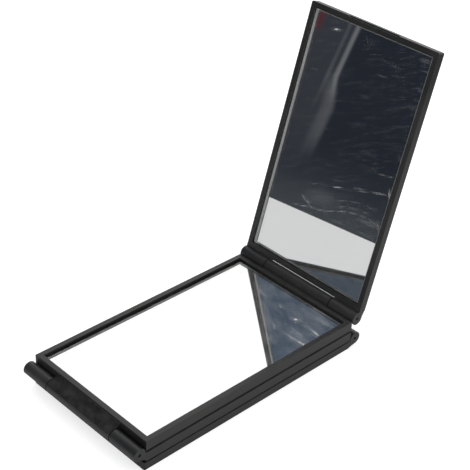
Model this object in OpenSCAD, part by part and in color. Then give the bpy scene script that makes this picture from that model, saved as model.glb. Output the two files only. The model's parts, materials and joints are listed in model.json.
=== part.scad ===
// Four-way folding mirror: four framed mirrors joined end to end by three pin hinges.
// The leaves fold in a zigzag. Here three of them lie stacked and the top cover stands open.
// Origin: on the underside of the bottom cover, at the middle of the leaves' length and width.
// +X runs along the leaves to the end with the top and bottom hinges, +Y along the pins, +Z up.

/* [Leaves] */
// Length of an inner leaf, from end wall to end wall
leaf_l = 130; // [90:1:200]
// Width of every leaf, along the hinge pins
leaf_w = 78; // [64:1:120]
// Thickness of an inner leaf
inner_t = 5.3; // [4.9:0.1:9]
// Thickness of a cover
cover_t = 4.2; // [4:0.1:7]
// How much longer a cover is at its free end, so that a fingertip can lift it
cover_lip = 1; // [0.4:0.1:3]
// Gap between two folded leaves
leaf_gap = 0.5; // [0.2:0.05:0.7]
// Width of the rim round each mirror
rim_w = 2.7; // [1.8:0.1:7]
// Angle by which the top cover stands open
open_angle = 105.6; // [0:0.1:180]

/* [Edges] */
// Radius of a cover's back edges
cover_edge_r = 0.3; // [0.2:0.05:1.2]
// Radius of the corners at a cover's free end, seen from above
cover_corner_r = 1; // [0.4:0.1:2.5]
// Radius of the end edges that turn past the next leaf's knuckles
hinge_edge_r = 0.2; // [0.1:0.05:1.2]
// Radius of an inner leaf's long back edges
leaf_edge_r = 0.5; // [0.2:0.05:1]
// Radius of the rims' sharp edges
rim_edge_r = 0.2; // [0.1:0.05:0.3]

/* [Finger notch] */
// Length of the notch in a cover's free edge
notch_w = 31; // [12:1:44]
// How far the notch reaches in from the free edge
notch_in = 0.6; // [0.3:0.1:1.2]
// How far the notch reaches down from the mirror side
notch_down = 1.4; // [0.6:0.1:2.2]

/* [Hinges] */
// Radius of the hinge barrels
barrel_r = 3.3; // [2.6:0.1:3.8]
// Gap between a barrel and the end wall of the leaf it turns past
barrel_clear = 0.3; // [0.25:0.05:1.5]
// Width of a middle knuckle
mid_knuckle_w = 44; // [20:1:56]
// Gap between a middle knuckle and the outer ones beside it
knuckle_gap = 0.5; // [0.3:0.05:1]
// How far below an inner leaf's far face its knuckle webs start
web_lip = 0.8; // [0.4:0.1:1.4]
// How far in from the end wall a cover's back starts to sweep up to its barrels
sweep_l = 1; // [0.5:0.1:5]
// Radius of the hinge pins
pin_r = 0.75; // [0.5:0.05:1.2]
// Radial play of a pin in a middle knuckle
pin_play = 0.05; // [0.02:0.01:0.1]
// How deep the pin ends sit inside the outer knuckles
pin_recess = 1.5; // [0.5:0.1:4]
// Chamfer on the pin ends
pin_chamfer = 0.2; // [0.1:0.05:0.4]

/* [Mirrors] */
// Thickness of the mirror glass
glass_t = 1.8; // [1:0.1:2]
// How far the glass lies below the rim
recess = 1.2; // [0.4:0.05:1.4]
// Gap on every side of a cover's glass when it lies in the middle of its pocket
cover_glass_play = 0.4; // [0.2:0.05:0.8]
// The same gap in an inner leaf
leaf_glass_play = 0.6; // [0.2:0.05:0.8]
// Chamfer on the front edges of the glass
glass_chamfer = 0.3; // [0.1:0.05:0.5]

/* [Adhesive tape] */
// Thickness of the foam tape under the glass
tape_t = 0.3; // [0.2:0.05:0.5]
// Width of one strip of tape
tape_w = 12; // [6:1:16]
// Distance from the long side of the pocket to the middle of a strip
tape_inset = 14; // [11:1:16]
// How far a strip ends before the pocket does
tape_end = 8; // [3:1:25]

/* [Ribbed floor of an inner leaf] */
// Thickness of the floor between the ribs
floor_t = 1.2; // [0.8:0.1:1.6]
// Thickness of a rib
rib_t = 1.4; // [0.8:0.1:3]
// Width of the solid border round the ribbed area
core_border = 2; // [1:0.1:2.8]
// How much wider than the tape the solid band under a strip is, on each side
land_margin = 1; // [0.2:0.1:1.4]
// Number of hollows along the leaf
core_count = 5; // [2:1:9]

/* [Hidden] */
$fn = 64;

plastic_colour = "#232325";
glass_colour = "#c8d2da";
tape_colour = "#e4e0d4";
steel_colour = "#aeb2b6";

// Overshoot of a cutting solid past the surface it opens
cut = 1;
// Half length and half width of an inner leaf
half_l = leaf_l / 2;
half_w = leaf_w / 2;
// A hinge axis lies midway between two leaves, this far out from their end walls
axis_u = barrel_r + barrel_clear;
axis_x = half_l + axis_u;
// Depth of the pocket that holds tape and glass
pocket_depth = recess + glass_t + tape_t;
// Depth of the hollows in an inner leaf's floor
core_depth = inner_t - pocket_depth - floor_t;
// Distance from the leaf's middle line to the middle of a tape strip
tape_y = half_w - rim_w - tape_inset;
// Distance from the middle line to the outer knuckles
outer_knuckle_y = mid_knuckle_w / 2 + knuckle_gap;
// Where each glass is glued down, off the middle of its pocket, as shares of the play in X and Y
bottom_cover_lay = [0, 0];
lower_leaf_lay = [0, 0];
upper_leaf_lay = [-0.15, -0.85];
top_cover_lay = [0.25, -0.75];
// Heights of the stacked leaves and of the hinge axes between them
lower_leaf_z = cover_t + leaf_gap;
upper_leaf_z = lower_leaf_z + inner_t + leaf_gap;
bottom_axis_z = lower_leaf_z - leaf_gap / 2;
middle_axis_z = upper_leaf_z - leaf_gap / 2;
top_axis_z = upper_leaf_z + inner_t + leaf_gap / 2;
// Where a cover's free end and each leaf's pocket end, along the leaf
cover_end_x = -half_l - cover_lip;
pocket_x1 = half_l - rim_w;
inner_pocket_x0 = -half_l + rim_w;
cover_pocket_x0 = cover_end_x + rim_w;

// Radius of the hollow arc that falls by rise over run and ends level, tangent to a barrel
function sweep_radius(run, rise) = (run * run + rise * rise) / (2 * rise);

// The sharp outer corner at [x, z] that a radius r takes away; sx and sz point out of the section
module round_off(x, z, sx, sz, r) {
    if (r > 0)
        difference() {
            translate([x - (sx > 0 ? r : cut), z - (sz > 0 ? r : cut)])
                square(r + cut);
            translate([x - sx * r, z - sz * r])
                circle(r);
        }
}

// Rectangle from [x0, z0] to [x1, z1] with its own radius at each corner, counted from [x0, z0]
module rounded_section(x0, z0, x1, z1, radii) {
    difference() {
        translate([x0, z0])
            square([x1 - x0, z1 - z0]);
        round_off(x0, z0, -1, -1, radii[0]);
        round_off(x1, z0, 1, -1, radii[1]);
        round_off(x1, z1, 1, 1, radii[2]);
        round_off(x0, z1, -1, 1, radii[3]);
    }
}

// A section drawn in X and Z, run along Y from y0 to y1
module along_y(y0, y1) {
    translate([0, y1, 0])
        rotate([90, 0, 0])
            linear_extrude(y1 - y0)
                children();
}

// A section drawn in Y and Z, run along X from x0 to x1
module along_x(x0, x1) {
    translate([x0, 0, 0])
        rotate([90, 0, 90])
            linear_extrude(x1 - x0)
                children();
}

// Each leaf is drawn lying flat: its back at z = 0, its mirror side up, and a hinge at its +X end
// whose axis is on the mirror side. The hinge at an inner leaf's -X end is on its back.

// Outline of a knuckle: u runs out from the end wall, v runs into the leaf from the face by the axis.
// The web leaves the end wall at web_v, root inside it, and sweeps down in a hollow arc to the barrel.
module knuckle_outline(web_v, root) {
    barrel_v = -leaf_gap / 2;
    sweep_r = sweep_radius(axis_u + root, web_v - barrel_v - barrel_r);
    seat_u = max(root, hinge_edge_r);
    translate([axis_u, barrel_v])
        circle(barrel_r);
    difference() {
        translate([-seat_u, 0])
            square([seat_u + axis_u, web_v]);
        translate([axis_u, barrel_v + barrel_r + sweep_r])
            circle(sweep_r);
    }
}

// One knuckle in the middle of a leaf's end, or one at each side of it
module knuckle_row(outer) {
    if (outer) {
        along_y(-half_w, -outer_knuckle_y)
            children();
        along_y(outer_knuckle_y, half_w)
            children();
    } else {
        along_y(-mid_knuckle_w / 2, mid_knuckle_w / 2)
            children();
    }
}

// Hole for a pin: a press fit in outer knuckles, with play in a middle one
module pin_bore(x, z, outer) {
    translate([x, 0, z])
        rotate([90, 0, 0])
            cylinder(h = leaf_w + 2 * cut, r = outer ? pin_r : pin_r + pin_play, center = true);
}

module mirror_side_knuckles(t, web_v, root, outer) {
    knuckle_row(outer)
        translate([half_l, t])
            mirror([0, 1])
                knuckle_outline(web_v, root);
}

module back_side_knuckles(web_v, outer) {
    knuckle_row(outer)
        translate([-half_l, 0])
            mirror([1, 0])
                knuckle_outline(web_v, 0);
}

// Pocket for tape and glass, open on the mirror side
module mirror_pocket(x0, t) {
    translate([x0, -half_w + rim_w, t - pocket_depth])
        cube([pocket_x1 - x0, leaf_w - 2 * rim_w, pocket_depth + cut]);
}

// Hollows that leave ribs, a border and two solid bands for the tape in an inner leaf's floor
module floor_cores() {
    x0 = inner_pocket_x0 + core_border;
    pitch = (pocket_x1 - core_border - x0 + rib_t) / core_count;
    inner_y = tape_y - tape_w / 2 - land_margin;
    outer_y = tape_y + tape_w / 2 + land_margin;
    border_y = half_w - rim_w - core_border;
    spans = [[-border_y, -outer_y], [-inner_y, -rib_t / 2], [rib_t / 2, inner_y], [outer_y, border_y]];
    for (i = [0 : core_count - 1])
        for (span = spans)
            translate([x0 + i * pitch, span[0], floor_t])
                cube([pitch - rib_t, span[1] - span[0], core_depth + cut]);
}

// Fingernail notch in the mirror side of a cover's free edge, with round ends
module finger_notch() {
    translate([cover_end_x, 0, cover_t - notch_down])
        linear_extrude(notch_down + cut) {
            translate([-cut, notch_in - notch_w / 2])
                square([cut + notch_in, notch_w - 2 * notch_in]);
            for (side = [-1, 1])
                translate([0, side * (notch_w / 2 - notch_in)])
                    circle(notch_in);
        }
}

// Moulded frame of a cover: its back sweeps up to two barrels at the hinge end, and the rounding
// of its long back edges runs on over them
module cover_frame() {
    axis_z = cover_t + leaf_gap / 2;
    sweep_r = sweep_radius(axis_u + sweep_l, axis_z - barrel_r);
    difference() {
        intersection() {
            union() {
                intersection() {
                    along_y(-half_w, half_w)
                        difference() {
                            rounded_section(cover_end_x, 0, half_l, cover_t,
                                            [cover_edge_r, 0, hinge_edge_r, rim_edge_r]);
                            translate([axis_x, axis_z - barrel_r - sweep_r])
                                circle(sweep_r);
                        }
                    along_x(cover_end_x - cut, half_l + cut)
                        rounded_section(-half_w, 0, half_w, cover_t, [0, 0, rim_edge_r, rim_edge_r]);
                }
                mirror_side_knuckles(cover_t, cover_t, sweep_l, true);
            }
            along_x(cover_end_x - cut, axis_x + barrel_r + cut)
                rounded_section(-half_w, 0, half_w, axis_z + barrel_r + cut,
                                [cover_edge_r, cover_edge_r, 0, 0]);
        }
        translate([0, 0, -cut])
            linear_extrude(cover_t + 2 * cut) {
                round_off(cover_end_x, -half_w, -1, -1, cover_corner_r);
                round_off(cover_end_x, half_w, -1, 1, cover_corner_r);
            }
        mirror_pocket(cover_pocket_x0, cover_t);
        pin_bore(axis_x, axis_z, true);
        finger_notch();
    }
}

// Moulded frame of an inner leaf: a middle knuckle at +X, and outer or middle knuckles at -X
module inner_frame(outer_at_back) {
    difference() {
        union() {
            intersection() {
                along_y(-half_w, half_w)
                    rounded_section(-half_l, 0, half_l, inner_t,
                                    [hinge_edge_r, rim_edge_r, hinge_edge_r, rim_edge_r]);
                along_x(-half_l - cut, half_l + cut)
                    rounded_section(-half_w, 0, half_w, inner_t,
                                    [leaf_edge_r, leaf_edge_r, rim_edge_r, rim_edge_r]);
            }
            mirror_side_knuckles(inner_t, inner_t - web_lip, 0, false);
            back_side_knuckles(inner_t - web_lip, outer_at_back);
        }
        mirror_pocket(inner_pocket_x0, inner_t);
        floor_cores();
        pin_bore(axis_x, inner_t + leaf_gap / 2, false);
        pin_bore(-axis_x, -leaf_gap / 2, outer_at_back);
    }
}

// Two strips of foam tape on the pocket floor
module tape_strips(x0, t) {
    start_x = x0 + tape_end;
    end_x = pocket_x1 - tape_end;
    for (side = [-1, 1])
        translate([start_x, side * tape_y - tape_w / 2, t - pocket_depth])
            cube([end_x - start_x, tape_w, tape_t]);
}

// Section of the glass from a to b across, with its front edges chamfered
module glass_section(a, b, z0) {
    z1 = z0 + glass_t;
    polygon([[a, z0], [b, z0], [b, z1 - glass_chamfer], [b - glass_chamfer, z1],
             [a + glass_chamfer, z1], [a, z1 - glass_chamfer]]);
}

// Silvered glass plate with a gap of play round it, lying on the tape in a pocket from x0 on
module mirror_plate(x0, t, play, lay) {
    z0 = t - recess - glass_t;
    plate_half_w = half_w - rim_w - play;
    translate([lay[0] * play, lay[1] * play, 0])
        intersection() {
            along_y(-plate_half_w, plate_half_w)
                glass_section(x0 + play, pocket_x1 - play, z0);
            along_x(x0, pocket_x1)
                glass_section(-plate_half_w, plate_half_w, z0);
        }
}

// Steel hinge pin on an axis at [x, z]
module hinge_pin(x, z) {
    half_pin = half_w - pin_recess;
    translate([x, 0, z])
        rotate([90, 0, 0])
            rotate_extrude()
                polygon([[0, -half_pin], [pin_r - pin_chamfer, -half_pin],
                         [pin_r, pin_chamfer - half_pin], [pin_r, half_pin - pin_chamfer],
                         [pin_r - pin_chamfer, half_pin], [0, half_pin]]);
}

// Places: the bottom cover stays as drawn, the lower leaf lies on its mirror, the upper leaf on
// its back, and the top cover is turned over and then opened about the top hinge.
module place_lower_leaf() {
    translate([0, 0, lower_leaf_z + inner_t])
        rotate([180, 0, 0])
            children();
}

module place_upper_leaf() {
    translate([0, 0, upper_leaf_z])
        children();
}

module place_top_cover() {
    translate([axis_x, 0, top_axis_z])
        rotate([0, open_angle, 0])
            translate([-axis_x, 0, leaf_gap / 2 + cover_t])
                rotate([180, 0, 0])
                    children();
}

module bottom_cover_frame() {
    color(plastic_colour)
        cover_frame();
}

module bottom_cover_tape() {
    color(tape_colour)
        tape_strips(cover_pocket_x0, cover_t);
}

module bottom_cover_mirror() {
    color(glass_colour)
        mirror_plate(cover_pocket_x0, cover_t, cover_glass_play, bottom_cover_lay);
}

module lower_leaf_frame() {
    color(plastic_colour)
        place_lower_leaf()
            inner_frame(true);
}

module lower_leaf_tape() {
    color(tape_colour)
        place_lower_leaf()
            tape_strips(inner_pocket_x0, inner_t);
}

module lower_leaf_mirror() {
    color(glass_colour)
        place_lower_leaf()
            mirror_plate(inner_pocket_x0, inner_t, leaf_glass_play, lower_leaf_lay);
}

module upper_leaf_frame() {
    color(plastic_colour)
        place_upper_leaf()
            inner_frame(false);
}

module upper_leaf_tape() {
    color(tape_colour)
        place_upper_leaf()
            tape_strips(inner_pocket_x0, inner_t);
}

module upper_leaf_mirror() {
    color(glass_colour)
        place_upper_leaf()
            mirror_plate(inner_pocket_x0, inner_t, leaf_glass_play, upper_leaf_lay);
}

module top_cover_frame() {
    color(plastic_colour)
        place_top_cover()
            cover_frame();
}

module top_cover_tape() {
    color(tape_colour)
        place_top_cover()
            tape_strips(cover_pocket_x0, cover_t);
}

module top_cover_mirror() {
    color(glass_colour)
        place_top_cover()
            mirror_plate(cover_pocket_x0, cover_t, cover_glass_play, top_cover_lay);
}

module bottom_hinge_pin() {
    color(steel_colour)
        hinge_pin(axis_x, bottom_axis_z);
}

module middle_hinge_pin() {
    color(steel_colour)
        hinge_pin(-axis_x, middle_axis_z);
}

module top_hinge_pin() {
    color(steel_colour)
        hinge_pin(axis_x, top_axis_z);
}

bottom_cover_frame();
bottom_cover_tape();
bottom_cover_mirror();
lower_leaf_frame();
lower_leaf_tape();
lower_leaf_mirror();
upper_leaf_frame();
upper_leaf_tape();
upper_leaf_mirror();
top_cover_frame();
top_cover_tape();
top_cover_mirror();
bottom_hinge_pin();
middle_hinge_pin();
top_hinge_pin();
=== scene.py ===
import json
from math import atan2, cos, pi, radians, sin

import bmesh
import bpy
from mathutils import Euler, Matrix, Vector


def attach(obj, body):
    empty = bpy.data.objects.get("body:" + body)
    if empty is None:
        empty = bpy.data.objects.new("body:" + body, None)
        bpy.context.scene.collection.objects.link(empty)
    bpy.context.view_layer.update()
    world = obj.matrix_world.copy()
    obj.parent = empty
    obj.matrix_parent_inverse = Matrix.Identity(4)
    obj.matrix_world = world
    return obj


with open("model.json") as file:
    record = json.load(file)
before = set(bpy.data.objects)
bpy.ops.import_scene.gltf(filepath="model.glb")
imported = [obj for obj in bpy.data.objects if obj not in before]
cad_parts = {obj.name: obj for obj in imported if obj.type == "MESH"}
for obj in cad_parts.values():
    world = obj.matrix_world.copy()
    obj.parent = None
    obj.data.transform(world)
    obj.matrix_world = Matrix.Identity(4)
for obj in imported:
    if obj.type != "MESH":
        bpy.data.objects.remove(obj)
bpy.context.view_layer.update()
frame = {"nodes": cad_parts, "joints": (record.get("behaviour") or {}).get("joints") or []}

# ---------------------------------------------------------------------------------------
# Leaf frames: two covers and two inner leaves, each one injection moulding in black ABS.
# The mould was spark eroded, so all faces have one fine matt grain, and handling has left
# the plastic slightly uneven in gloss, with a little lint that clings to it.
# ---------------------------------------------------------------------------------------
MM = 0.001


def linear(hex_colour):
    """The linear RGBA of an sRGB colour such as "1c1d1f"."""
    values = [int(hex_colour[i:i + 2], 16) / 255 for i in (0, 2, 4)]
    return [v / 12.92 if v <= 0.04045 else ((v + 0.055) / 1.055) ** 2.4 for v in values] + [1.0]


def add(tree, kind, sockets=None, **settings):
    """Adds a node to a tree: settings go on the node, sockets are linked or set by name or number."""
    made = tree.nodes.new(kind)
    for name, value in settings.items():
        setattr(made, name, value)
    for name, value in (sockets or {}).items():
        if isinstance(value, bpy.types.NodeSocket):
            tree.links.new(value, made.inputs[name])
        else:
            made.inputs[name].default_value = value
    return made


def empty_tree(name):
    """A new material with an empty node tree, and that tree."""
    material = bpy.data.materials.new(name)
    material.use_nodes = True
    material.node_tree.nodes.clear()
    return material, material.node_tree


# ABS, injection moulded, spark-eroded finish: near black, half matt, a broad grey sheen where it
# faces the light. The real grain is about 0.1 mm and would not show, so it is drawn at 0.35 mm.
abs_black, t = empty_tree("black_abs_spark_eroded")
place = add(t, "ShaderNodeTexCoord").outputs["Object"]
grain = add(t, "ShaderNodeTexNoise", {"Vector": place, "Scale": 1 / (0.35 * MM), "Detail": 2.0,
                                      "Roughness": 0.6})
flow = add(t, "ShaderNodeTexNoise", {"Vector": place, "Scale": 1 / (22 * MM), "Detail": 3.0,
                                     "Roughness": 0.55})
sink = add(t, "ShaderNodeTexNoise", {"Vector": place, "Scale": 1 / (9 * MM), "Detail": 1.0})
lint = add(t, "ShaderNodeTexVoronoi", {"Vector": place, "Scale": 1 / (6.5 * MM), "Randomness": 1.0})
lint_spot = add(t, "ShaderNodeMapRange", {"Value": lint.outputs["Distance"], "From Min": 0.022,
                                          "From Max": 0.05, "To Min": 0.5, "To Max": 0.0})
pigment = add(t, "ShaderNodeMapRange", {"Value": flow.outputs["Fac"], "From Min": 0.35, "From Max": 0.65})
body = add(t, "ShaderNodeMix", {"Factor": pigment.outputs["Result"], "A": linear("1d1d1d"),
                                "B": linear("262524")}, data_type="RGBA")
dusty = add(t, "ShaderNodeMix", {"Factor": lint_spot.outputs["Result"], "A": body.outputs["Result"],
                                 "B": linear("55534f")}, data_type="RGBA")
gloss = add(t, "ShaderNodeMapRange", {"Value": flow.outputs["Fac"], "From Min": 0.3, "From Max": 0.7,
                                      "To Min": 0.38, "To Max": 0.5})
grain_bump = add(t, "ShaderNodeBump", {"Height": grain.outputs["Fac"], "Strength": 0.45,
                                       "Distance": 0.05 * MM})
sink_bump = add(t, "ShaderNodeBump", {"Height": sink.outputs["Fac"], "Strength": 0.25, "Distance": 0.1 * MM,
                                      "Normal": grain_bump.outputs["Normal"]})
skin = add(t, "ShaderNodeBsdfPrincipled", {"Base Color": dusty.outputs["Result"],
                                           "Roughness": gloss.outputs["Result"],
                                           "Normal": sink_bump.outputs["Normal"], "IOR": 1.53})
add(t, "ShaderNodeOutputMaterial", {"Surface": skin.outputs["BSDF"]})

# ABS, injection moulded, drawn blacker, mottled and without the sheen of the rest. On top of the upper
# leaf's long knuckle it is simply darker and duller; on the rounded edges of two grooves its black and
# lost sheen are painted shade of the deep slots between the leaves.
abs_dull_and_groove_shade, t = empty_tree("black_abs_dull_and_painted_groove_shade")
place = add(t, "ShaderNodeTexCoord").outputs["Object"]
grain = add(t, "ShaderNodeTexNoise", {"Vector": place, "Scale": 1 / (0.5 * MM), "Detail": 3.0,
                                      "Roughness": 0.65})
smudge = add(t, "ShaderNodeTexNoise", {"Vector": place, "Scale": 1 / (5 * MM), "Detail": 4.0,
                                       "Roughness": 0.6})
smudged = add(t, "ShaderNodeMapRange", {"Value": smudge.outputs["Fac"], "From Min": 0.38, "From Max": 0.64})
dull_and_shade_tone = add(t, "ShaderNodeMix", {"Factor": smudged.outputs["Result"], "A": linear("181818"),
                                     "B": linear("2b2b2a")}, data_type="RGBA")
grain_bump = add(t, "ShaderNodeBump", {"Height": grain.outputs["Fac"], "Strength": 0.6,
                                       "Distance": 0.06 * MM})
dull_and_shade_skin = add(t, "ShaderNodeBsdfPrincipled", {"Base Color": dull_and_shade_tone.outputs["Result"], "Roughness": 0.6,
                                                "Specular IOR Level": 0.12, "IOR": 1.53,
                                                "Normal": grain_bump.outputs["Normal"]})
add(t, "ShaderNodeOutputMaterial", {"Surface": dull_and_shade_skin.outputs["BSDF"]})
KNUCKLE_END = -65.2 * MM               # the long knuckle lies beyond this X
KNUCKLE_HALF = 25 * MM                 # and within this Y on both sides
KNUCKLE_TOP = 0.55                     # Z of a normal, at least, on its top
GROOVES = (4.45 * MM, 10.25 * MM)      # middle planes of the two lower grooves of the stack
GROOVE_REACH = 0.8 * MM
LONG_SIDE = 38 * MM                    # faces beyond this Y are on a long side
UPRIGHT, LEVEL = 0.15, 0.99            # Z of a normal; a face between the two is on a rounded edge

leaves = ("bottom_cover", "lower_leaf", "upper_leaf", "top_cover")
for leaf in leaves:
    shell = frame["nodes"][leaf + "_frame"].data
    shell.materials.clear()
    shell.materials.append(abs_black)
    shell.materials.append(abs_dull_and_groove_shade)
    for face in shell.polygons:
        x, y, z = face.center
        on_top = (leaf == "upper_leaf" and x < KNUCKLE_END and abs(y) < KNUCKLE_HALF
                  and face.normal.z > KNUCKLE_TOP)
        # the rounded edges along the two lower grooves get the darker material: painted shade between the
        # leaves
        groove_shade = (min(abs(z - groove) for groove in GROOVES) < GROOVE_REACH and abs(y) > LONG_SIDE
                     and UPRIGHT < abs(face.normal.z) < LEVEL)
        face.material_index = 1 if on_top or groove_shade else 0

# ---------------------------------------------------------------------------------------
# Foam tape: two strips of white double-sided foam in each pocket, which hold the glass.
# Only the cut edges could ever be seen, past the rim of a plate.
# ---------------------------------------------------------------------------------------

# Polyethylene foam, closed cell, slit from a roll: chalky white with open cells along its cut edges.
foam, t = empty_tree("white_polyethylene_foam_slit")
place = add(t, "ShaderNodeTexCoord").outputs["Object"]
cells = add(t, "ShaderNodeTexVoronoi", {"Vector": place, "Scale": 1 / (0.4 * MM)}, feature="SMOOTH_F1")
cell_tone = add(t, "ShaderNodeMix", {"Factor": cells.outputs["Distance"], "A": linear("e6e2d6"),
                                     "B": linear("c9c4b4")}, data_type="RGBA")
cell_bump = add(t, "ShaderNodeBump", {"Height": cells.outputs["Distance"], "Strength": 0.6,
                                      "Distance": 0.1 * MM})
chalk = add(t, "ShaderNodeBsdfPrincipled", {"Base Color": cell_tone.outputs["Result"], "Roughness": 0.9,
                                            "Normal": cell_bump.outputs["Normal"], "IOR": 1.45})
add(t, "ShaderNodeOutputMaterial", {"Surface": chalk.outputs["BSDF"]})
for leaf in leaves:
    strips = frame["nodes"][leaf + "_tape"].data
    strips.materials.clear()
    strips.materials.append(foam)

# ---------------------------------------------------------------------------------------
# Mirrors: plates of float glass, cut, with a small chamfer ground round the front, silvered and
# painted on the back. The silver is a sheet of its own just inside the back of each plate.
# ---------------------------------------------------------------------------------------
SILVER_IN = 0.04                   # mm from the back and the edges of the glass to the silver
SILVER_T = 0.02                    # mm, thickness of the silver sheet
POLISHED = 0.9                     # Z of a normal, at least, where a plate isn't ground
BOX_FACES = ((0, 1, 2, 3), (4, 5, 6, 7), (0, 1, 5, 4), (1, 2, 6, 5), (2, 3, 7, 6), (3, 0, 4, 7))
top_hinge = next(j for j in frame["joints"] if j["name"] == "top_hinge")
TOP_AXIS = Vector(top_hinge["pos_m"]) / MM
OPEN_ANGLE = radians(105.6)        # of the top cover in the rest pose
RUB_TURN = atan2(-1.0, -0.45)      # which way the glass has been rubbed, on the folded leaf
# densities of the film: dust only on the plate that lies open and flat, wipes on all plates
VEIL = {"upper_leaf": 0.032}
WIPES = {"top_cover": 0.012, "upper_leaf": 0.03, "lower_leaf": 0.03, "bottom_cover": 0.03}
FLATTEN = 1e6                      # scale that takes the depth in the glass out of a mark

# Silver under glass, chemically deposited: a clear image, a little darker than what it shows.
silver, t = empty_tree("silver_deposited_on_glass")
place = add(t, "ShaderNodeTexCoord").outputs["Object"]
haze = add(t, "ShaderNodeTexNoise", {"Vector": place, "Scale": 1 / (30 * MM), "Detail": 2.0})
tone = add(t, "ShaderNodeMix", {"Factor": haze.outputs["Fac"], "A": linear("f9f9f9"), "B": linear("fcfcfc")},
           data_type="RGBA")
bright = add(t, "ShaderNodeBsdfPrincipled", {"Base Color": tone.outputs["Result"], "Metallic": 1.0,
                                             "Roughness": 0.0})
add(t, "ShaderNodeOutputMaterial", {"Surface": bright.outputs["BSDF"]})

# Float glass, ground on an abrasive belt: the sides and the chamfer, frosted grey. On the raised cover's
# plate the edge is painted paler all round, and along one long side almost white: painted light there.
ground_edge_and_painted_light, t = empty_tree("float_glass_belt_ground_edge_painted_light")
place = add(t, "ShaderNodeTexCoord").outputs["Object"]
grit = add(t, "ShaderNodeTexNoise", {"Vector": place, "Scale": 1 / (0.5 * MM), "Detail": 3.0})
frost = add(t, "ShaderNodeMix", {"Factor": grit.outputs["Fac"], "A": linear("5a5f5d"), "B": linear("6b706e")},
            data_type="RGBA")
at = add(t, "ShaderNodeSeparateXYZ", {0: place}).outputs
# painted light: the raised plate's edges paler, and one long side of it almost white
long_side = add(t, "ShaderNodeMapRange", {"Value": at["Y"], "From Min": 33.5 * MM, "From Max": 33.9 * MM})
raised = add(t, "ShaderNodeMapRange", {"Value": at["Z"], "From Min": 17 * MM, "From Max": 19 * MM})
painted_pale = add(t, "ShaderNodeMix", {"Factor": raised.outputs["Result"], "A": frost.outputs["Result"],
                                "B": linear("9da2a0")}, data_type="RGBA")
painted_lit_side = add(t, "ShaderNodeMath", {0: long_side.outputs["Result"], 1: raised.outputs["Result"]},
                 operation="MULTIPLY")
edge_and_painted_light_tone = add(t, "ShaderNodeMix", {"Factor": painted_lit_side.outputs[0], "A": painted_pale.outputs["Result"],
                                     "B": linear("fbfcfb")}, data_type="RGBA")
chips = add(t, "ShaderNodeBump", {"Height": grit.outputs["Fac"], "Strength": 0.4, "Distance": 0.05 * MM})
edge = add(t, "ShaderNodeBsdfPrincipled", {"Base Color": edge_and_painted_light_tone.outputs["Result"], "Roughness": 0.6,
                                           "Normal": chips.outputs["Normal"], "IOR": 1.52})
add(t, "ShaderNodeOutputMaterial", {"Surface": edge.outputs["BSDF"]})


def closed_place(leaf):
    """Turn and shift, in mm, from a leaf's rest place to where it lies when all is folded flat."""
    if leaf != "top_cover":
        return Euler((0, 0, 0)), Vector()
    turn = Euler((0, -OPEN_ANGLE, 0))
    return turn, TOP_AXIS - turn.to_matrix() @ TOP_AXIS


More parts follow.
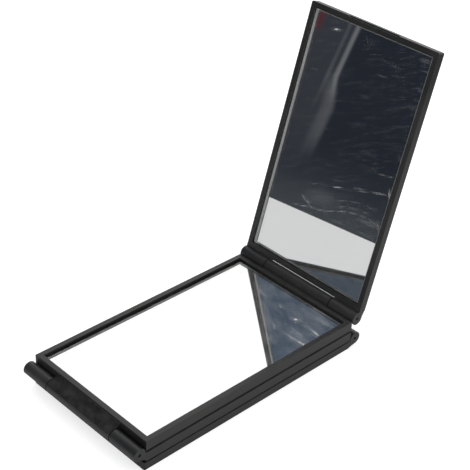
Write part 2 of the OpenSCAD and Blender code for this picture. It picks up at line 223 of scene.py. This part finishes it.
# Marks that use has left on the two mirrors that lie open. Each is a stroke: half width in mm, the
# density of its film, then its points, X and Y in mm on the folded leaf.
MARKS = {
    "top_cover": (
        (0.32, 0.496, (14.8, -1.9), (13.1, -7.8)),           # a dried drop, drawn out
        (0.22, 0.056, (15.5, -2.7), (23.1, -3.2)), (0.22, 0.05, (20.0, -6.2), (22.8, -10.0)),
        (0.3, 0.074, (22.8, 0.1), (32.1, -3.2)),
        (0.5, 0.62, (-56.9, 22.4), (-57.5, 19.9)), (1.6, 0.031, (-56.3, 25.3), (-57.9, 16.5)),   # lint
        (5.6, 0.025, (24.4, 11.5), (21.0, -5.0)),           # a smear, and the rim that it dried to
        (0.9, 0.124, (25.8, 14.4), (27.7, 11.5), (28.4, 7.8)),
        (0.35, 0.186, (32.6, 18.4), (31.9, 15.1)), (0.4, 0.211, (32.0, 14.3), (30.0, 8.9)),
        (0.5, 0.13, (29.6, 9.3), (29.4, 4.0), (28.1, -1.1), (25.3, -7.9), (22.7, -14.6), (21.2, -21.5)),
        (0.7, 0.062, (21.2, -21.5), (20.8, -26.7), (21.2, -35.2)),
        (0.35, 0.074, (20.1, -6.5), (17.7, -12.7), (15.1, -22.5), (15.8, -31.7)),
        (0.5, 0.056, (23.2, -7.1), (20.4, -13.7), (18.9, -21.7), (18.3, -27.9)),
        (1.8, 0.043, (23.6, -20.0), (22.1, -36.0)),
        (0.9, 0.074, (19.4, -32.4), (25.4, -36.0)), (0.35, 0.062, (30.7, -4.3), (29.0, -19.0), (28.8, -36.0)),
        (0.4, 0.074, (19.0, 11.1), (17.6, 8.2)), (0.35, 0.056, (11.7, 0.3), (9.8, -7.7)),
        (0.26, 0.18, (-1.7, -24.5), (-2.7, -30.5), (-3.5, -34.8)),    # hairline scratches
        (0.26, 0.186, (10.7, -12.4), (8.3, -22.1), (5.1, -36.0)),
        (0.26, 0.149, (11.3, -14.6), (8.6, -24.3), (5.7, -34.0)),
        (1.1, 0.2, (2.3, -33.8), (8.5, -36.4)),
        (0.3, 0.043, (6.4, 6.6), (4.8, -0.5)), (0.3, 0.074, (-4.7, -10.0), (-5.0, -13.0)),
        (0.28, 0.056, (-4.3, -13.8), (-4.7, -16.5)), (0.28, 0.05, (-7.9, -12.0), (-8.5, -14.1)),
        (0.3, 0.05, (-4.8, -20.0), (-5.7, -23.3)), (0.3, 0.043, (-2.9, -20.1), (-2.8, -23.3)),
        (1.2, 0.043, (-14.6, -33.2), (-10.3, -37.0)), (0.6, 0.056, (-12.5, -35.0), (-10.3, -37.0)),
        (0.4, 0.05, (-34.8, 30.3), (-35.4, 25.0)), (0.45, 0.037, (-60.6, 3.8), (-55.8, 0.0), (-59.7, -1.9)),
        (0.4, 0.031, (-52.1, -0.1), (-54.3, -7.5)), (0.5, 0.031, (-52.2, -7.3), (-52.6, -14.2)),
        (0.6, 0.031, (-51.8, -14.0), (-51.7, -21.0)), (0.8, 0.037, (-45.0, -7.8), (-45.6, -15.2)),
        (0.9, 0.019, (-47.6, -16.1), (-48.7, -23.6)), (1.6, 0.043, (-59.3, -28.5), (-60.5, -36.5)),
        (0.7, 0.037, (-55.1, -30.6), (-55.9, -37.5)), (1.5, 0.037, (-47.1, -32.0), (-45.4, -37.2)),
        (1.8, 0.025, (-37.6, -28.7), (-37.5, -37.1)), (0.35, 0.087, (-49.7, -33.1), (-49.7, -34.8)),
        (0.9, 0.019, (-32.9, -0.8), (-32.9, -9.2)), (0.5, 0.025, (-26.9, -28.7), (-27.5, -33.4)),
        (13.0, 0.009, (24.0, 30.0), (22.0, -40.0)),
    ),
    "upper_leaf": (
        (0.8, 0.85, (46.7, -18.3), (47.2, -18.8)), (2.2, 0.1, (46.0, -16.0), (48.0, -21.0)),
        (1.4, 0.13, (35.0, -20.0), (35.4, -37.0)), (1.0, 0.24, (35.3, -31.0), (35.4, -36.5)),
        (1.3, 0.12, (47.4, -25.6), (45.6, -36.0)), (0.9, 0.24, (46.6, -30.5), (45.8, -35.0)),
        (0.8, 0.12, (37.0, -13.0), (34.0, -17.5)), (2.2, 0.08, (51.0, 12.0), (50.0, 3.0)),
        (0.8, 0.1, (50.6, -3.8), (48.0, -8.2)), (3.2, 0.05, (46.0, 4.0), (31.0, -18.0)),
        (2.2, 0.07, (41.0, -22.0), (39.0, -30.0)), (2.6, 0.09, (56.0, -22.0), (56.0, -36.0)),
    ),
}


def float_glass(leaf, veil, wipes):
    """Float glass, polished by its making: clear, with a film of dust, wipes, fine rubbing all one way
    that is densest near one long side, and the marks above. It shows where something dark is mirrored."""
    material, t = empty_tree("float_glass_polished_" + leaf)
    turn, shift = closed_place(leaf)
    place = add(t, "ShaderNodeTexCoord").outputs["Object"]
    on_plate = add(t, "ShaderNodeMapping", {"Vector": place, "Scale": (1 / MM, 1 / MM, 1 / MM),
                                            "Rotation": turn, "Location": shift}).outputs["Vector"]
    plate_axes = add(t, "ShaderNodeSeparateXYZ", {0: on_plate}).outputs

    # rubbing: dashes up to 4.5 mm long and 0.7 mm wide, denser in some areas, towards the -Y side and
    # towards the end away from the top hinge
    rub = add(t, "ShaderNodeMapping", {"Vector": on_plate, "Rotation": (0, 0, RUB_TURN),
                                       "Scale": (6.0, 0.9, 90)}, vector_type="TEXTURE").outputs["Vector"]
    cells = add(t, "ShaderNodeTexVoronoi", {"Vector": rub, "Scale": 1.0, "Randomness": 1.0},
                voronoi_dimensions="2D")
    dash = add(t, "ShaderNodeMapRange", {"Value": cells.outputs["Distance"], "From Min": 0.1,
                                         "From Max": 0.38, "To Min": 1.0, "To Max": 0.0})
    pick = add(t, "ShaderNodeSeparateXYZ", {0: cells.outputs["Color"]}).outputs["X"]
    picked = add(t, "ShaderNodeMapRange", {"Value": pick, "From Min": 0.35, "From Max": 1.0})
    areas = add(t, "ShaderNodeMapping", {"Vector": rub, "Scale": (0.4, 0.08, 1.0)}).outputs["Vector"]
    patches = add(t, "ShaderNodeTexNoise", {"Vector": areas, "Scale": 1.0, "Detail": 2.0})
    rubbed = add(t, "ShaderNodeMapRange", {"Value": patches.outputs["Fac"], "From Min": 0.4,
                                           "From Max": 0.62, "To Min": 0.2, "To Max": 1.0})
    near_side = add(t, "ShaderNodeMapRange", {"Value": plate_axes["Y"], "From Min": 0.0,
                                              "From Max": -37.0, "To Min": 0.009, "To Max": 0.046})
    free_end = add(t, "ShaderNodeMapRange", {"Value": plate_axes["X"], "From Min": -10.0,
                                             "From Max": -62.0, "To Min": 0.6, "To Max": 1.1})
    strength = add(t, "ShaderNodeMath", {0: near_side.outputs["Result"], 1: free_end.outputs["Result"]},
                   operation="MULTIPLY")
    strokes = add(t, "ShaderNodeMath", {0: dash.outputs["Result"], 1: picked.outputs["Result"]},
                  operation="MULTIPLY")
    rubbing = add(t, "ShaderNodeMath", {0: strokes.outputs[0], 1: rubbed.outputs["Result"]},
                  operation="MULTIPLY")

    # dust in clouds of 8 mm, broken up by grime of 1.1 mm, and wide wipes along the rubbing
    clouds = add(t, "ShaderNodeTexNoise", {"Vector": on_plate, "Scale": 1 / 8, "Detail": 5.0,
                                           "Roughness": 0.65})
    grime = add(t, "ShaderNodeTexNoise", {"Vector": on_plate, "Scale": 1 / 1.1, "Detail": 3.0,
                                          "Roughness": 0.6})
    broken = add(t, "ShaderNodeMapRange", {"Value": grime.outputs["Fac"], "From Min": 0.3, "From Max": 0.62,
                                           "To Min": 0.6, "To Max": 1.15}).outputs["Result"]
    dust = add(t, "ShaderNodeMapRange", {"Value": clouds.outputs["Fac"], "From Min": 0.4, "From Max": 0.62,
                                         "To Min": 0.25 * veil, "To Max": 2.1 * veil})
    along_wipe = add(t, "ShaderNodeMapping", {"Vector": rub, "Scale": (0.45, 0.45, 1.0)}).outputs["Vector"]
    wiped = add(t, "ShaderNodeTexNoise", {"Vector": along_wipe, "Scale": 1.0, "Detail": 3.0,
                                          "Roughness": 0.6})
    sweep = add(t, "ShaderNodeMapRange", {"Value": wiped.outputs["Fac"], "From Min": 0.52, "From Max": 0.7,
                                          "To Min": 0.0, "To Max": wipes})
    veiled = add(t, "ShaderNodeMath", {0: dust.outputs["Result"], 1: broken, 2: sweep.outputs["Result"]},
                 operation="MULTIPLY_ADD")
    film = add(t, "ShaderNodeMath", {0: rubbing.outputs[0], 1: strength.outputs[0], 2: veiled.outputs[0]},
               operation="MULTIPLY_ADD").outputs[0]

    # marks: each piece of a stroke is an ellipse that fades out to its rim
    for half_width, density, *points in MARKS.get(leaf, ()):
        for (x0, y0), (x1, y1) in zip(points, points[1:]):
            ends = Vector((x1 - x0, y1 - y0))
            local = add(t, "ShaderNodeMapping", {"Vector": on_plate,
                                                 "Location": ((x0 + x1) / 2, (y0 + y1) / 2, 0),
                                                 "Rotation": (0, 0, atan2(ends.y, ends.x)),
                                                 "Scale": (ends.length / 2 + half_width, half_width, FLATTEN)},
                        vector_type="TEXTURE")
            reach = add(t, "ShaderNodeVectorMath", {0: local.outputs["Vector"]}, operation="LENGTH")
            patch = add(t, "ShaderNodeMapRange", {"Value": reach.outputs["Value"], "From Min": 0.15,
                                                  "From Max": 1.0, "To Min": density, "To Max": 0.0},
                        interpolation_type="SMOOTHSTEP")
            film = add(t, "ShaderNodeMath", {0: patch.outputs["Result"], 1: broken, 2: film},
                       operation="MULTIPLY_ADD").outputs[0]
    clear = add(t, "ShaderNodeMath", {0: 1.0, 1: film}, operation="SUBTRACT", use_clamp=True)
    glass = add(t, "ShaderNodeBsdfPrincipled", {"Base Color": linear("ffffff"), "Roughness": 0.0, "IOR": 1.52,
                                                "Transmission Weight": clear.outputs[0]})
    add(t, "ShaderNodeOutputMaterial", {"Surface": glass.outputs["BSDF"]})
    return material


for leaf in leaves:
    plate = frame["nodes"][leaf + "_mirror"].data
    plate.materials.clear()
    plate.materials.append(float_glass(leaf, VEIL.get(leaf, 0.0), WIPES[leaf]))
    plate.materials.append(ground_edge_and_painted_light)
    turn, shift = closed_place(leaf)
    matrix = turn.to_matrix()
    for face in plate.polygons:
        face.material_index = 0 if abs((matrix @ face.normal).z) > POLISHED else 1
    corners = [matrix @ (v.co / MM) + shift for v in plate.vertices]
    low = Vector([min(c[i] for c in corners) for i in range(3)])
    high = Vector([max(c[i] for c in corners) for i in range(3)])
    # folded, the lower leaf and the top cover lie with their backs up
    back_up = leaf in ("lower_leaf", "top_cover")
    z_back = high.z - SILVER_IN if back_up else low.z + SILVER_IN
    z_front = z_back - SILVER_T if back_up else z_back + SILVER_T
    mesh = bpy.data.meshes.new(leaf + "_silver")
    form = bmesh.new()
    x0, x1, y0, y1 = low.x + SILVER_IN, high.x - SILVER_IN, low.y + SILVER_IN, high.y - SILVER_IN
    for z in (z_back, z_front):
        for x, y in ((x0, y0), (x1, y0), (x1, y1), (x0, y1)):
            form.verts.new(matrix.inverted() @ (Vector((x, y, z)) - shift) * MM)
    form.verts.ensure_lookup_table()
    for loop in BOX_FACES:
        form.faces.new([form.verts[i] for i in loop])
    bmesh.ops.recalc_face_normals(form, faces=form.faces)
    form.to_mesh(mesh)
    form.free()
    mesh.materials.append(silver)
    sheet = bpy.data.objects.new(leaf + "_silver", mesh)
    bpy.context.scene.collection.objects.link(sheet)
    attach(sheet, leaf)

# ---------------------------------------------------------------------------------------
# Hinge pins: three lengths of drawn steel wire, chamfered at both ends and pressed into the outer
# knuckles. Only their ends show, deep in the pin holes.
# ---------------------------------------------------------------------------------------

# Drawn carbon steel, oiled: grey metal with fine draw lines along the wire.
wire, t = empty_tree("drawn_steel_wire")
place = add(t, "ShaderNodeTexCoord").outputs["Object"]
along_pin = add(t, "ShaderNodeMapping", {"Vector": place,
                                         "Scale": (6 / MM, 0.12 / MM, 6 / MM)}).outputs["Vector"]
lines = add(t, "ShaderNodeTexNoise", {"Vector": along_pin, "Scale": 1.0, "Detail": 2.0})
steel_tone = add(t, "ShaderNodeMix", {"Factor": lines.outputs["Fac"], "A": linear("8e8f92"),
                                      "B": linear("b4b5b8")}, data_type="RGBA")
steel_gloss = add(t, "ShaderNodeMapRange", {"Value": lines.outputs["Fac"], "To Min": 0.28, "To Max": 0.5})
metal = add(t, "ShaderNodeBsdfPrincipled", {"Base Color": steel_tone.outputs["Result"], "Metallic": 1.0,
                                            "Roughness": steel_gloss.outputs["Result"]})
add(t, "ShaderNodeOutputMaterial", {"Surface": metal.outputs["BSDF"]})
for hinge in ("bottom_hinge", "middle_hinge", "top_hinge"):
    pin = frame["nodes"][hinge + "_pin"].data
    pin.materials.clear()
    pin.materials.append(wire)

# ---------------------------------------------------------------------------------------
# Studio table: a round top with two straight edges, both outside the picture. The one on the left
# is what the raised mirror shows, with the unlit room behind it.
# ---------------------------------------------------------------------------------------
TABLE_R = 2.6                   # m
TABLE_CORNERS = 96
TABLE_DROP = 0.02 * MM          # from the object's underside to the table
LEFT_EDGE, LEFT_TURN = 0.383, radians(136.1)       # m from the origin to the edge, and its direction
RIGHT_EDGE, RIGHT_TURN = 0.32, radians(-43.9)
CAMERA_LIFT = 0.62              # so that the table is white for the camera
MIRROR_LIFT = 0.02              # and hardly brighter than its paint in the mirrors

# Table paint, white and rolled on matt: even and pale, with no sheen, and a little mottled.
table_paint, t = empty_tree("white_table_matt_paint")
ray = add(t, "ShaderNodeLightPath").outputs
mirrored = add(t, "ShaderNodeMath", {0: ray["Is Glossy Ray"], 1: ray["Is Transmission Ray"]},
               operation="MAXIMUM")
lift = add(t, "ShaderNodeMath", {0: mirrored.outputs[0], 1: MIRROR_LIFT}, operation="MULTIPLY")
lift_all = add(t, "ShaderNodeMath", {0: ray["Is Camera Ray"], 1: CAMERA_LIFT, 2: lift.outputs[0]},
               operation="MULTIPLY_ADD")
place = add(t, "ShaderNodeTexCoord").outputs["Object"]
mottle = add(t, "ShaderNodeTexNoise", {"Vector": place, "Scale": 1 / (60 * MM), "Detail": 2.0})
paint_tone = add(t, "ShaderNodeMix", {"Factor": mottle.outputs["Fac"], "A": linear("cccdce"),
                                      "B": linear("d0d0d0")}, data_type="RGBA")
paint = add(t, "ShaderNodeBsdfPrincipled", {"Base Color": paint_tone.outputs["Result"], "Roughness": 0.85,
                                            "Specular IOR Level": 0.2, "Emission Color": linear("ffffff"),
                                            "Emission Strength": lift_all.outputs[0]})
add(t, "ShaderNodeOutputMaterial", {"Surface": paint.outputs["BSDF"]})

to_left = Vector((cos(LEFT_TURN), sin(LEFT_TURN), 0))
to_right = Vector((cos(RIGHT_TURN), sin(RIGHT_TURN), 0))
table_mesh = bpy.data.meshes.new("table_top")
form = bmesh.new()
for i in range(TABLE_CORNERS):
    corner_turn = 2 * pi * i / TABLE_CORNERS
    corner = Vector((TABLE_R * cos(corner_turn), TABLE_R * sin(corner_turn), -TABLE_DROP))
    corner -= to_left * max(0.0, corner.dot(to_left) - LEFT_EDGE)
    corner -= to_right * max(0.0, corner.dot(to_right) - RIGHT_EDGE)
    form.verts.new(corner)
form.faces.new(form.verts)
bmesh.ops.remove_doubles(form, verts=form.verts, dist=1e-5)
form.to_mesh(table_mesh)
form.free()
table_mesh.materials.append(table_paint)
table = bpy.data.objects.new("table_top", table_mesh)
bpy.context.scene.collection.objects.link(table)

# ---------------------------------------------------------------------------------------
# Room: white all round for the camera, and plain white light on the object. The mirrors show it grey
# low down, white overhead, and on one side dark slate, with a curtain, a faint gleam and a small red
# patch. All limits in the ramps are degrees of direction.
# ---------------------------------------------------------------------------------------
GLASS_LOSS = 0.14      # what glass and silver take, more or less, of the white that they mirror
world = bpy.data.worlds.new("studio")
bpy.context.scene.world = world
world.use_nodes = True
t = world.node_tree
t.nodes.clear()
ray = add(t, "ShaderNodeLightPath").outputs
towards = add(t, "ShaderNodeTexCoord").outputs["Generated"]
axes = add(t, "ShaderNodeSeparateXYZ", {0: towards}).outputs
turn_rad = add(t, "ShaderNodeMath", {0: axes["Y"], 1: axes["X"]}, operation="ARCTAN2")
turn_deg = add(t, "ShaderNodeMath", {0: turn_rad.outputs[0]}, operation="DEGREES").outputs[0]
rise_rad = add(t, "ShaderNodeMath", {0: axes["Z"]}, operation="ARCSINE")
rise_deg = add(t, "ShaderNodeMath", {0: rise_rad.outputs[0]}, operation="DEGREES").outputs[0]


def ramp(value, start, end, low=0.0, high=1.0):
    """A smooth step of value in the room's tree, from low at start to high at end."""
    return add(t, "ShaderNodeMapRange", {"Value": value, "From Min": start, "From Max": end, "To Min": low,
                                         "To Max": high}, interpolation_type="SMOOTHSTEP").outputs["Result"]


def times(a, b):
    """The product of two values in the room's tree."""
    return add(t, "ShaderNodeMath", {0: a, 1: b}, operation="MULTIPLY").outputs[0]


def blend(share, a, b):
    """Colour a turning to colour b in the room's tree."""
    return add(t, "ShaderNodeMix", {"Factor": share, "A": a, "B": b}, data_type="RGBA").outputs["Result"]


curtain = blend(ramp(turn_deg, 144.45, 144.7), linear("32353b"), linear("22262e"))
low_wall = blend(ramp(rise_deg, -5.2, -2.5), linear("2d3138"), curtain)
floor_band = blend(ramp(rise_deg, -6.6, -4.6), linear("3f4347"), low_wall)
slate = blend(ramp(rise_deg, 12, 48), linear("3e4854"), linear("43505f"))
dark_room = blend(ramp(rise_deg, 2.8, 7), floor_band, slate)
# the gleam leans to the right below the horizon, widens to the left there and fades away, and has a
# fainter one beside it
lean = add(t, "ShaderNodeMapRange", {"Value": rise_deg, "From Min": -1.5, "From Max": -0.1,
                                     "To Min": -0.36, "To Max": 0.0}).outputs["Result"]
gleam_turn = add(t, "ShaderNodeMath", {0: turn_deg, 1: lean}, operation="ADD").outputs[0]
narrow = times(ramp(gleam_turn, 144.24, 144.42), ramp(gleam_turn, 144.44, 144.6, 1.0, 0.0))
narrow = times(times(narrow, ramp(rise_deg, -1.6, 0.2)), 0.28)
wide = times(ramp(gleam_turn, 143.8, 144.4), ramp(gleam_turn, 144.4, 144.74, 1.0, 0.0))
wide = times(times(wide, ramp(rise_deg, -4.4, -2.4)), times(ramp(rise_deg, -0.9, 0.3, 1.0, 0.0), 0.15))
second = times(ramp(turn_deg, 143.9, 144.05), ramp(turn_deg, 144.05, 144.2, 1.0, 0.0))
second = times(times(second, ramp(rise_deg, -2.5, 0.2)), 0.08)
for gleam in (narrow, wide, second):
    dark_room = blend(gleam, dark_room, linear("a2a4a6"))
warm = times(ramp(turn_deg, 141.9, 142.2), ramp(turn_deg, 142.7, 143.05, 1.0, 0.0))
warm = times(times(warm, ramp(rise_deg, 1.3, 1.7)), ramp(rise_deg, 2.5, 3.0, 1.0, 0.0))
dark_room = blend(times(warm, 0.8), dark_room, linear("4f2a30"))
in_dark = times(ramp(turn_deg, 62, 82), ramp(rise_deg, 58, 64, 1.0, 0.0))
horizon = times(ray["Is Transmission Ray"], ramp(rise_deg, 1, 21, 1.0, 0.0))
around = blend(ramp(rise_deg, -8, -2), linear("4a4c4e"), blend(horizon, linear("ffffff"), linear("b4babf")))
room = blend(in_dark, around, dark_room)
seen = blend(ray["Is Camera Ray"], room, linear("ffffff"))
mirrored = add(t, "ShaderNodeMath", {0: ray["Is Glossy Ray"], 1: ray["Is Transmission Ray"]},
               operation="MAXIMUM")
# a ground edge that is seen through the glass gets the same plain light as everything else, while
# the light's path has at most four bounces
scattered = add(t, "ShaderNodeMath", {0: ray["Diffuse Depth"], 1: 0.5}, operation="GREATER_THAN").outputs[0]
short = add(t, "ShaderNodeMath", {0: ray["Ray Depth"], 1: 4.5}, operation="LESS_THAN").outputs[0]
image = add(t, "ShaderNodeMath", {0: 1.0, 1: times(scattered, short)}, operation="SUBTRACT").outputs[0]
shown = add(t, "ShaderNodeMath", {0: ray["Is Camera Ray"], 1: times(mirrored.outputs[0], image)},
            operation="MAXIMUM")
light = blend(shown.outputs[0], linear("ffffff"), seen)
white_share = add(t, "ShaderNodeMath", {0: 1.0, 1: in_dark}, operation="SUBTRACT").outputs[0]
boost = times(times(white_share, ray["Is Transmission Ray"]), GLASS_LOSS)
strength = add(t, "ShaderNodeMath", {0: boost, 1: 1.0}, operation="ADD")
sky = add(t, "ShaderNodeBackground", {"Color": light, "Strength": strength.outputs[0]})
add(t, "ShaderNodeOutputWorld", {"Surface": sky.outputs["Background"]})

# ---------------------------------------------------------------------------------------
# Studio lamps: a large softbox overhead, and a smaller and weaker one low down behind the object,
# beyond the hinges. Sizes are in m and powers in W.
# ---------------------------------------------------------------------------------------
LAMP_AIM = Vector((0.01, 0, 0.04))
for name, spot, size, power in (("overhead_softbox", (0.15, -0.25, 1.15), 1.2, 1.0),
                                ("far_strip", (1.0, 0.75, 0.35), 0.6, 0.3)):
    lamp = bpy.data.lights.new(name, "AREA")
    lamp.shape = "SQUARE"
    lamp.size = size
    lamp.energy = power
    box = bpy.data.objects.new(name, lamp)
    box.location = spot
    box.rotation_euler = (LAMP_AIM - Vector(spot)).to_track_quat("-Z", "Y").to_euler()
    box.visible_transmission = False
    bpy.context.scene.collection.objects.link(box)

# ---------------------------------------------------------------------------------------
# Camera: fitted to the photograph's edges, long lens, looking down on the near corner.
# ---------------------------------------------------------------------------------------
VIEW_TURN, VIEW_RISE, VIEW_ROLL = radians(-45.453), radians(32.542), radians(3.079)
EYE = Vector((-324.439, -339.981, 373.890)) * MM
FOCAL, SENSOR = 96.04, 36.0      # mm
back = Vector((sin(VIEW_TURN) * cos(VIEW_RISE), -cos(VIEW_TURN) * cos(VIEW_RISE), sin(VIEW_RISE)))
right = Vector((cos(VIEW_TURN), sin(VIEW_TURN), 0))
up = back.cross(right)
side = right * cos(VIEW_ROLL) + up * sin(VIEW_ROLL)
top = up * cos(VIEW_ROLL) - right * sin(VIEW_ROLL)
lens = bpy.data.cameras.new("camera")
lens.lens, lens.sensor_width = FOCAL, SENSOR
lens.clip_start, lens.clip_end = 0.01, 20
camera = bpy.data.objects.new("camera", lens)
camera.matrix_world = Matrix.Translation(EYE) @ Matrix((side, top, back)).transposed().to_4x4()
bpy.context.scene.collection.objects.link(camera)
bpy.context.scene.camera = camera
bpy.context.scene.view_settings.view_transform = "Standard"
